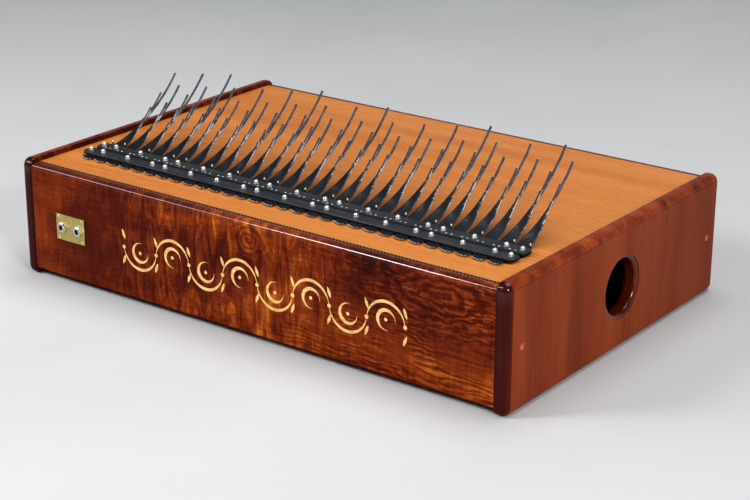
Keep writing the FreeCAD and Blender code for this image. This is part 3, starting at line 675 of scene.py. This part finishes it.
class Finish(Enum):
    """Every finish on the instrument."""

    FRONT = FiguredFront()
    CHEEK = CheekWood()
    TOP = CedarTop()
    ROPE = RopePurfling()
    INLAY = MapleInlay()
    BOTTOM = PlainWood("bottom_ply", rgb(96, 60, 36), rgb(140, 96, 60))
    SPRUCE = PlainWood("frame_spruce", rgb(176, 128, 78), rgb(214, 172, 120))
    BRIDGE = PlainWood("bridge_maple", rgb(176, 130, 84), rgb(206, 164, 116))
    BLACK = BarSteel()
    BARE = Metal("bare_steel", rgb(120, 122, 126), rgb(178, 180, 184), 0.3, 1.0, (20, 700, 700))
    BLUED = BluedSpring()
    BRIGHT = Metal("cut_steel", rgb(104, 100, 96), rgb(248, 246, 242), 0.3, 0.7, (500, 500, 500))
    BOLT = Metal("bolt_steel", rgb(196, 197, 196), rgb(244, 244, 242), 0.34, 0.8)
    SCREW = Metal("set_screw_steel", rgb(150, 151, 152), rgb(220, 221, 222), 0.36, 0.7)
    PIN = GuidePin()
    PLATE = Metal("brushed_brass", rgb(172, 152, 94), rgb(216, 198, 142), 0.42, 1.0, (900, 60, 30))
    GOLD = Metal("gilt_screw", rgb(220, 190, 100), rgb(255, 236, 170), 0.22)
    COPPER = Metal("screw_copper", rgb(196, 116, 80), rgb(246, 184, 140), 0.35, 0.7)
    NICKEL = Metal("jack_nickel", rgb(206, 206, 202), rgb(248, 248, 244), 0.24)
    JACK = JackBarrel()
    LEAD = Moulded("lead_sheath", rgb(22, 22, 24), 0.55)


MADE: dict[Finish, bpy.types.Material] = {}


def made(finish: Finish) -> bpy.types.Material:
    """Looks up the material of a finish and makes it the first time that it is asked for.

    Args:
        finish: The finish.
    Returns:
        Its one material.
    """
    if finish not in MADE:
        MADE[finish] = finish.value.material()
    return MADE[finish]


def dress(node: str, finish: Finish) -> None:
    """Gives a carried-over node its finish, on the slots that it already has.

    Args:
        node: The node's name.
        finish: What it is finished in.
    """
    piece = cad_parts[node]
    if not piece.material_slots:
        piece.data.materials.append(made(finish))
    for slot in piece.material_slots:
        slot.material = made(finish)
    LOG.info("%s dressed as %s", node, finish.name.lower())


# ---------------------------------------------------------------------------------------------
# Studio
# ---------------------------------------------------------------------------------------------


@dataclass(frozen=True)
class Lamp:
    """One soft box: where it hangs, what it faces, its size and its strength."""

    name: str
    place: tuple[float, float, float]
    target: tuple[float, float, float]
    size: tuple[float, float]
    watts: float
    colour: Colour = (1.0, 1.0, 1.0)

    def hang(self) -> None:
        """Makes the lamp and turns it to its target."""
        data = bpy.data.lights.new(self.name, "AREA")
        data.shape = "RECTANGLE"
        data.size, data.size_y = self.size
        data.energy = self.watts
        data.color = self.colour
        lamp = bpy.data.objects.new(self.name, data)
        bpy.context.scene.collection.objects.link(lamp)
        lamp.location = self.place
        aim = Vector(self.target) - Vector(self.place)
        lamp.rotation_euler = aim.to_track_quat("-Z", "Y").to_euler()


@dataclass
class Studio:
    """A pale sweep, soft boxes and a camera above and to the right of the front panel."""

    camera_place: tuple[float, float, float] = (1.21466, -1.62025, 0.79409)
    camera_turn: float = 36.586
    camera_dip: float = 20.489
    camera_roll: float = 0.242
    lens: float = 90.37
    sensor: float = 36.0
    floor_half: float = 14.0
    sweep_start: float = 1.6
    sweep_radius: float = 1.6
    sweep_steps: int = 24
    floor_dark: Colour = rgb(192, 193, 194)
    floor_light: Colour = rgb(204, 204, 205)
    air_colour: Colour = (0.55, 0.57, 0.6)
    air_strength: float = 0.3
    lamps: tuple[Lamp, ...] = (
        Lamp("overhead_box", (0.3, 0.4, 2.6), (0.1, 0.0, 0.0), (2.2, 1.5), 38.0),
        Lamp("key_box", (-0.95, -1.4, 1.3), (0.1, -0.1, 0.1), (0.45, 0.5), 17.0),
        Lamp("left_box", (-1.75, -1.35, 1.25), (-0.2, -0.2, 0.1), (0.9, 0.5), 9.0),
        Lamp("right_box", (2.1, -1.3, 1.3), (0.3, 0.0, 0.05), (0.7, 0.7), 34.0),
    )

    def set_camera(self) -> None:
        """The camera turns about Z, dips below level and rolls about its own axis."""
        data = bpy.data.cameras.new("view")
        data.lens = self.lens
        data.sensor_width = self.sensor
        camera = bpy.data.objects.new("view", data)
        bpy.context.scene.collection.objects.link(camera)
        turn = Matrix.Rotation(math.radians(self.camera_turn), 4, "Z")
        dip = Matrix.Rotation(math.radians(90.0 - self.camera_dip), 4, "X")
        roll = Matrix.Rotation(math.radians(self.camera_roll), 4, "Z")
        camera.matrix_world = Matrix.Translation(self.camera_place) @ turn @ dip @ roll
        bpy.context.scene.camera = camera

    def lay_floor(self) -> None:
        """The floor runs back level, then turns up through a quarter circle into a wall."""
        angles = np.linspace(0.0, math.pi / 2, self.sweep_steps)
        back = self.sweep_start + self.sweep_radius * np.sin(angles)
        up = self.sweep_radius * (1.0 - np.cos(angles))
        depth = np.concatenate(([-self.floor_half], back, [back[-1]]))
        height = np.concatenate(([0.0], up, [self.floor_half]))
        ends = np.array([-self.floor_half, self.floor_half])
        count = len(depth)
        points = np.stack([np.tile(ends, count), np.repeat(depth, 2), np.repeat(height, 2)], axis=1)
        low = np.arange(count - 1) * 2
        faces = np.stack([low, low + 1, low + 3, low + 2], axis=1)
        mesh = bpy.data.meshes.new("floor")
        mesh.from_pydata(points.tolist(), [], faces.tolist())
        mesh.shade_smooth()
        g = Graph("pale_floor")
        mottle = g.noise((1.4, 1.4, 1.4), 4.0, 0.55, 0.6)
        colour = g.ramp(mottle, [(0.3, self.floor_dark), (0.7, self.floor_light)])
        mesh.materials.append(g.finish(Base_Color=colour, Roughness=0.85, Specular_IOR_Level=0.2))
        floor = bpy.data.objects.new("floor", mesh)
        bpy.context.scene.collection.objects.link(floor)

    def fill_air(self) -> None:
        """A dim grey surround for reflections."""
        world = bpy.data.worlds.new("air")
        world.use_nodes = True
        background = world.node_tree.nodes["Background"]
        background.inputs["Color"].default_value = (*self.air_colour, 1.0)
        background.inputs["Strength"].default_value = self.air_strength
        bpy.context.scene.world = world

    def build(self) -> None:
        """Sets everything that isn't the instrument."""
        self.set_camera()
        self.lay_floor()
        self.fill_air()
        for lamp in self.lamps:
            lamp.hang()
        bpy.context.scene.view_settings.view_transform = "Standard"
        bpy.context.scene.view_settings.look = "Medium High Contrast"
        LOG.info("studio ready")


# ---------------------------------------------------------------------------------------------
# Surfaces
# ---------------------------------------------------------------------------------------------


def grid_quads(rows: int, columns: int, looped: bool) -> np.ndarray:
    """Quads between neighbouring rows of points, each row closed on itself.

    Args:
        rows: How many rows of points there are.
        columns: How many points are in a row.
        looped: Whether the last row joins the first.
    Returns:
        Four point numbers for each quad, wound to face outwards for rows that turn anticlockwise
        about the way that the rows advance.
    """
    bands = np.arange(rows if looped else rows - 1)
    row, column = np.meshgrid(bands, np.arange(columns), indexing="ij")
    after = (row + 1) % rows * columns
    beside = (column + 1) % columns
    here = row * columns
    corners = [here + column, here + beside, after + beside, after + column]
    return np.stack(corners, axis=-1).reshape(-1, 4)


@dataclass
class Surface:
    """A mesh in the making: its points, quads and end caps, and the material slot of each face."""

    points: np.ndarray
    quads: np.ndarray
    caps: np.ndarray
    quad_slots: np.ndarray
    cap_slots: np.ndarray
    strip: np.ndarray | None = None

    @staticmethod
    def from_rows(rows: np.ndarray, slots: np.ndarray | None = None, cap_slot: int = 0,
                  strip: np.ndarray | None = None, looped: bool = False) -> "Surface":
        """A closed solid from rows of points.

        Args:
            rows: Points in rows and columns, each with its three coordinates.
            slots: The material slot of each quad.
            cap_slot: The material slot of the caps.
            strip: The strip attribute of each point.
            looped: Whether the last row joins the first; otherwise a flat cap closes each end.
        Returns:
            The surface.
        """
        count, columns = rows.shape[:2]
        quads = grid_quads(count, columns, looped)
        ring = np.arange(columns)
        caps = np.stack([ring[::-1], ring + (count - 1) * columns])[:0 if looped else 2]
        slots = np.zeros(len(quads), int) if slots is None else slots
        return Surface(rows.reshape(-1, 3), quads, caps, slots, np.full(len(caps), cap_slot), strip)

    def repeated(self, places: np.ndarray) -> "Surface":
        """Copies this surface to several places.

        Args:
            places: A vector in metres for each copy.
        Returns:
            All the copies in one surface.
        """
        count, size = len(places), len(self.points)
        step = np.arange(count)[:, None, None] * size
        points = (self.points[None] + places[:, None]).reshape(-1, 3)
        strip = None if self.strip is None else np.tile(self.strip, (count, 1))
        return Surface(points, (self.quads[None] + step).reshape(-1, self.quads.shape[1]),
                       (self.caps[None] + step).reshape(-1, self.caps.shape[1]),
                       np.tile(self.quad_slots, count), np.tile(self.cap_slots, count), strip)

    def build(self, name: str, finishes: Sequence[Finish], body: str, node: str, slot: str,
              angle: float = 32.0) -> bpy.types.Object:
        """Makes the object and stands it in for one node.

        Args:
            name: The piece's name.
            finishes: The finishes in slot order.
            body: The body that the piece rides on.
            node: The node that it stands for.
            slot: The record's material slot; not used.
            angle: Edges sharper than this many degrees stay sharp.
        Returns:
            The object.
        """
        mesh = bpy.data.meshes.new(name)
        mesh.from_pydata(self.points.tolist(), [], self.quads.tolist() + self.caps.tolist())
        for finish in finishes:
            mesh.materials.append(made(finish))
        mesh.polygons.foreach_set("material_index", np.concatenate([self.quad_slots, self.cap_slots]))
        mesh.shade_smooth()
        mesh.set_sharp_from_angle(angle=math.radians(angle))
        if self.strip is not None:
            layer = mesh.attributes.new("strip", "FLOAT_VECTOR", "POINT")
            layer.data.foreach_set("vector", self.strip.astype(np.float32).ravel())
        piece = bpy.data.objects.new(name, mesh)
        bpy.context.scene.collection.objects.link(piece)
        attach(piece, body)
        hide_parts(node)
        LOG.info("%s built, %d faces", name, len(mesh.polygons))
        return piece


def joined(parts: Sequence[Surface]) -> Surface:
    """Puts several surfaces of one sort together.

    Args:
        parts: The surfaces, with caps of one size, all or none with a strip attribute.
    Returns:
        One surface that holds them all.
    """
    shifts = np.cumsum([0] + [len(part.points) for part in parts[:-1]])
    strips = None if parts[0].strip is None else np.concatenate([part.strip for part in parts])
    return Surface(np.concatenate([part.points for part in parts]),
                   np.concatenate([part.quads + shift for part, shift in zip(parts, shifts)]),
                   np.concatenate([part.caps + shift for part, shift in zip(parts, shifts)]),
                   np.concatenate([part.quad_slots for part in parts]),
                   np.concatenate([part.cap_slots for part in parts]), strips)


def turned(profile: Sequence[tuple[float, ...]], sides: int, axis: Vector = Vector((0, 0, 1)),
           looped: bool = False) -> Surface:
    """A solid of revolution: each profile point's radius swept around an axis.

    Args:
        profile: Radius and height in millimetres, and 1 where the section is a hexagon whose corners
            have that radius or 0 where it is round, from the low end to the high end.
        sides: Points around.
        axis: The way that the heights run.
        looped: Whether the profile is a closed loop beside the axis.
    Returns:
        The solid, about its own origin.
    """
    radius, height, flats = np.array(profile).T[:, :, None]
    around = np.arange(sides) * (math.tau / sides)
    hexagon = math.cos(math.pi / 6) / np.cos(around % (math.pi / 3) - math.pi / 6)
    reach = radius * (1 + flats * (hexagon - 1))
    rows = np.stack([reach * np.cos(around), reach * np.sin(around), height + 0 * reach], axis=-1) * MM
    turn = np.array(Vector((0, 0, 1)).rotation_difference(axis).to_matrix())
    return Surface.from_rows(rows @ turn.T, looped=looped)


# ---------------------------------------------------------------------------------------------
# The instrument
# ---------------------------------------------------------------------------------------------


@dataclass(frozen=True)
class Strip:
    """The cross-section that tines and their tails share, in millimetres."""

    wide: float = 2.88
    thick: float = 0.98
    bevel: float = 0.26
    corner: tuple[float, ...] = (0.0, 45.0, 90.0)
    width_kept: float = 0.6

    def section(self) -> np.ndarray:
        """Works out the points around the strip: each corner is a quarter circle of three.

        Returns:
            The places across and through the strip, in metres, anticlockwise.
        """
        turn = np.radians(self.corner)
        middle = np.array([self.wide / 2 - self.bevel, self.thick / 2 - self.bevel])
        corners = []
        for number, signs in enumerate(((1, 1), (-1, 1), (-1, -1), (1, -1))):
            swing = turn + number * (math.pi / 2)
            corners.append(middle * signs + self.bevel * np.stack([np.cos(swing), np.sin(swing)], axis=1))
        return np.concatenate(corners) * MM

    def rows(self, size: np.ndarray) -> tuple[np.ndarray, np.ndarray]:
        """Carries the section along rows that narrow towards a filed end.

        Args:
            size: The share of the thickness at each row; the width narrows less.
        Returns:
            The places across and through the strip, each by row and point.
        """
        across, through = self.section().T
        width = self.width_kept + (1 - self.width_kept) * size
        return across * width[:, None], through * size[:, None]

    def marks(self, along: np.ndarray, number: float) -> np.ndarray:
        """Fills the strip attribute.

        Args:
            along: The distance along the strip at each row.
            number: The strip's own number.
        Returns:
            The distance, the place across and the number, by row and point.
        """
        across = self.section()[:, 0]
        along, across = np.broadcast_arrays(along[:, None], across)
        return np.stack([along, across, np.full_like(along, number)], axis=-1)

    def slots(self, rows: int) -> np.ndarray:
        """Slot 1, the bright one, on the faces between the last two rows, and slot 0 elsewhere."""
        slots = np.zeros((rows - 1, 4 * len(self.corner)), int)
        slots[-1] = 1
        return slots.ravel()


@dataclass(frozen=True)
class Spacing:
    """How groups and tines are spread along the bars, in millimetres."""

    group: float = 19.2
    tine: float = 3.15
    wide: float = 2.9

    def middle(self, group: int, tine: int) -> float:
        """X of a tine's middle, in metres.

        Args:
            group: Its group, from 0 on the left.
            tine: Its place in the group, from 0 on the left.
        Returns:
            The place, for groups spread evenly about the box's middle and tines about the group's.
        """
        gap = self.group - (TINES - 1) * self.tine - self.wide
        left = (group - GROUPS / 2) * self.group + gap / 2 + tine * self.tine
        return (left + self.wide / 2) * MM


@dataclass
class TineGroup:
    """Five tines clamped side by side, longest on the left, each turned up along one arc.

    Lengths are in millimetres and turns in degrees.  A tine leaves the bar at the rise, and its
    direction turns up by the curl.  Over the filed length, its end is thinned to the filed size.
    """

    number: int
    strip: Strip = Strip()
    spacing: Spacing = Spacing()
    longest: float = 152.0
    octave: float = 0.735
    rise: float = 9.9
    curl: float = 40.5
    steps: int = 18
    filed: float = 0.6
    filed_size: float = 0.62
    behind_bar: float = 0.3

    def length(self, tine: int) -> float:
        """The free length: groups step round the circle of fourths, and tines go up in octaves."""
        semitone = 5 * self.number % 12
        return self.longest * 2 ** (-semitone / 24) * self.octave ** tine

    def tine(self, tine: int, line: float, level: float) -> Surface:
        """One tine: its section is carried along an arc and thinned at the very end.

        Args:
            tine: Its place in the group from the left.
            line: Y of the bending line in metres.
            level: Z of the clamped strips' middle in metres.
        Returns:
            The tine, with its rows turned round so that its faces look outwards.
        """
        length = self.length(tine) * MM
        share = np.append(np.linspace(0.0, 1.0 - self.filed * MM / length, self.steps), 1.0)
        angle = np.radians(self.rise + self.curl * share)
        start, radius = math.radians(self.rise), length / math.radians(self.curl)
        middle_y = line + radius * (np.sin(angle) - math.sin(start))
        middle_z = level + radius * (math.cos(start) - np.cos(angle))
        across, through = self.strip.rows(np.append(np.ones(self.steps), self.filed_size))
        x = self.spacing.middle(self.number - 1, tine) + across
        y = middle_y[:, None] - np.sin(angle)[:, None] * through
        z = middle_z[:, None] + np.cos(angle)[:, None] * through
        rows = np.stack([x, y, z], axis=-1)
        marks = self.strip.marks(share * length, self.number * TINES + tine)
        return Surface.from_rows(rows[:, ::-1], self.strip.slots(len(share)), 1,
                                 marks[:, ::-1].reshape(-1, 3))

    def build(self) -> None:
        """Makes the group where its node is."""
        node = "tine_group_%02d" % self.number
        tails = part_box("tine_tails")
        level = (tails[0].z + tails[1].z) / 2
        line = tails[1].y + self.behind_bar * MM
        joined([self.tine(tine, line, level) for tine in range(TINES)]).build(
            node + "_steel", (Finish.BLUED, Finish.BRIGHT), "tines_%02d" % self.number, node,
            "spring_steel")


@dataclass
class TineTails:
    """The clamped ends of all the tines, which fan out as scallops in front of the bars.

    Each filed row is how far it is from the cut end and how much of the thickness is left there.
    The strip attribute's distance is a negative tenth of the real one, so that the painted edge highlight
    of the free tines doesn't show here, and its number goes on from one that no free tine has.
    """

    strip: Strip = Strip()
    spacing: Spacing = Spacing()
    scallop: tuple[float, ...] = (0.0, 1.8, 3.0, 3.4, 2.2)
    short_end: float = -163.7
    filed: tuple[tuple[float, float], ...] = ((0.8, 1.0), (0.3, 0.95), (0.0, 0.7))
    marks_scale: float = 0.1
    first_number: int = 200

    def tail(self, group: int, tine: int, back: float, level: float) -> Surface:
        """A straight strip from the back of the bars to its cut end.

        Args:
            group: Its group, from 0 on the left.
            tine: Its place in the group, from 0 on the left.
            back: Y of the back of the bars in metres.
            level: Z of the strip's middle in metres.
        Returns:
            The tail.
        """
        end = (self.short_end - self.scallop[tine]) * MM
        y = np.array([back] + [end + before * MM for before, _ in self.filed])
        across, through = self.strip.rows(np.array([1.0] + [size for _, size in self.filed]))
        x = self.spacing.middle(group, tine) + across
        rows = np.stack([x, np.broadcast_to(y[:, None], x.shape), level + through], axis=-1)
        marks = self.strip.marks((y - back) * self.marks_scale, self.first_number + group * TINES + tine)
        return Surface.from_rows(rows, self.strip.slots(len(y)), 1, marks.reshape(-1, 3))

    def build(self) -> None:
        """Makes every tail in one piece of mesh."""
        low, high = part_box("tine_tails")
        level = (low.z + high.z) / 2
        tails = [self.tail(group, tine, high.y, level)
                 for group in range(GROUPS) for tine in range(TINES)]
        joined(tails).build("tine_tails_steel", (Finish.BLUED, Finish.BRIGHT), BOX_BODY, "tine_tails",
                            "spring_steel")


@dataclass
class Fasteners:
    """Bolts, set screws and guide pins along the two bars, in millimetres."""

    spacing: Spacing = Spacing()
    bolted: tuple[int, ...] = (0, 1, 3, 5, 6, 8, 10, 12, 13, 15, 17, 18, 20, 22, 24, 25, 27, 29, 30)
    bolt_lines: tuple[float, float] = (-146.7, -125.3)
    set_line: float = -129.3
    pin_line: float = -111.0
    dome: float = 2.6
    dome_base: float = 2.6
    dome_rise: float = 2.05
    dome_turns: tuple[float, ...] = (0, 18, 36, 52, 66, 78, 87)

    def along(self, shares: Iterable[float], line: float, level: float) -> np.ndarray:
        """Places on a line along a bar.

        Args:
            shares: How many groups lie to the left of each place, in whole or in part.
            line: Y of the line in millimetres.
            level: Z of the places in metres.
        Returns:
            The places in metres.
        """
        x = (np.array(list(shares)) - GROUPS / 2) * self.spacing.group * MM
        return np.stack([x, np.full_like(x, line * MM), np.full_like(x, level)], axis=1)

    def build_bolts(self) -> None:
        """A shank, a chamfered hexagon, a groove and a dome, all turned in one profile."""
        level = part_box("front_clamp_bar")[1].z
        stem = [(1.3, -26.0, 0), (1.5, -25.7, 0), (1.5, 0.0, 0)]
        hexagon = [(2.75, 0.0, 1), (3.08, 0.25, 1), (3.08, 1.2, 1), (2.75, 1.42, 1)]
        groove = [(1.6, 1.45, 0), (1.6, 2.5, 0)]
        dome = [(self.dome * math.cos(turn), self.dome_base + self.dome_rise * math.sin(turn), 0)
                for turn in np.radians(self.dome_turns)]
        places = np.concatenate([self.along(self.bolted, line, level) for line in self.bolt_lines])
        turned(stem + hexagon + groove + dome, 24).repeated(places).build(
            "clamp_bolts_steel", (Finish.BOLT,), BOX_BODY, "clamp_bar_bolts", "bolt_steel", 40.0)

    def build_set_screws(self) -> None:
        """Small grub screws with a rounded rim around a cup."""
        low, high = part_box("bar_set_screws")
        rise = (high.z - low.z) / MM
        profile = [(1.2, 0.0, 0), (1.38, 0.2, 0), (1.38, rise - 0.4, 0), (1.15, rise - 0.08, 0),
                   (0.9, rise, 0), (0.62, rise - 0.12, 0), (0.55, rise - 0.7, 0)]
        thirds = [group + part / 3 for group in range(GROUPS) for part in (1, 2)]
        turned(profile, 18).repeated(self.along(thirds, self.set_line, low.z)).build(
            "set_screws_steel", (Finish.SCREW,), BOX_BODY, "bar_set_screws", "bolt_steel", 50.0)

    def build_pins(self) -> None:
        """Brass pins with rounded heads."""
        low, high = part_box("guide_pins")
        tall = (high.z - low.z) / MM
        profile = [(0.8, 0.0, 0), (0.98, 0.2, 0), (0.98, tall - 0.7, 0), (0.82, tall - 0.25, 0),
                   (0.45, tall - 0.02, 0)]
        turned(profile, 16).repeated(self.along(self.bolted, self.pin_line, low.z)).build(
            "guide_pins_brass", (Finish.PIN,), BOX_BODY, "guide_pins", "pin_brass", 50.0)

    def build(self) -> None:
        """Makes all three sorts."""
        self.build_bolts()
        self.build_set_screws()
        self.build_pins()


@dataclass
class JackFittings:
    """The two jack nuts and the four screws of the jack plate, turned to face the player."""

    nut: float = 6.3
    bore: float = 4.52
    screw: float = 1.9
    outward: Vector = field(default_factory=lambda: Vector((0, -1, 0)))

    def build_nuts(self) -> None:
        """Chamfered hexagons around a bore."""
        low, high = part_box("jack_nuts")
        thick = (high.y - low.y) / MM
        nut, bore = self.nut, self.bore
        ring = [(bore, 0.0, 0), (nut - 0.3, 0.0, 1), (nut, 0.25, 1), (nut, thick - 0.5, 1),
                (nut - 0.6, thick, 1), (bore + 0.2, thick, 0), (bore, thick - 0.2, 0)]
        reach = (high.z - low.z) / 2 / math.cos(math.pi / 6)
        spots = np.array([(x, high.y, (low.z + high.z) / 2) for x in (low.x + reach, high.x - reach)])
        turned(ring, 36, self.outward, True).repeated(spots).build(
            "jack_nuts_nickel", (Finish.NICKEL,), BOX_BODY, "jack_nuts", "jack_nickel")

    def build_screws(self) -> None:
        """Domed heads on thin shanks."""
        low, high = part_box("jack_plate_screws")
        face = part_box("jack_plate")[0].y
        head = [(0.95, -6.9, 0), (0.95, -1.4, 0), (1.86, 0.0, 0), (1.8, 0.16, 0), (1.45, 0.4, 0),
                (0.9, 0.56, 0), (0.3, 0.62, 0)]
        inset = self.screw * MM
        spots = np.array([(x, face, z) for x in (low.x + inset, high.x - inset)
                          for z in (low.z + inset, high.z - inset)])
        turned(head, 24, self.outward).repeated(spots).build(
            "plate_screws_brass", (Finish.GOLD,), BOX_BODY, "jack_plate_screws", "plate_brass", 50.0)

    def build(self) -> None:
        """Makes the nuts and the screws."""
        self.build_nuts()
        self.build_screws()


CARRIED_OVER: dict[str, Finish] = {
    "left_cheek": Finish.CHEEK, "right_cheek": Finish.CHEEK,
    "front_panel": Finish.FRONT, "rear_panel": Finish.FRONT,
    "soundboard": Finish.TOP, "bottom_board": Finish.BOTTOM, "purfling_strip": Finish.ROPE,
    "inlay_flourish": Finish.INLAY, "panel_linings": Finish.SPRUCE, "corner_blocks": Finish.SPRUCE,
    "soundboard_braces": Finish.SPRUCE, "bridge_plate": Finish.BRIDGE, "tine_bed": Finish.BLACK,
    "saddle_rods": Finish.BARE, "front_clamp_bar": Finish.BLACK, "rear_clamp_bar": Finish.BLACK,
    "clamp_bar_nuts": Finish.BOLT, "jack_plate": Finish.PLATE, "output_jack_left": Finish.JACK,
    "output_jack_right": Finish.JACK, "contact_pickups": Finish.PLATE, "pickup_leads": Finish.LEAD,
    "cheek_screws": Finish.COPPER,
}


def main() -> None:
    """Builds the instrument and its studio in order."""
    logging.basicConfig(level=logging.INFO, format="%(message)s")
    Studio().build()
    for node, finish in CARRIED_OVER.items():
        dress(node, finish)
    for number in range(1, GROUPS + 1):
        TineGroup(number).build()
    TineTails().build()
    Fasteners().build()
    JackFittings().build()


if __name__ == "__main__":
    main()
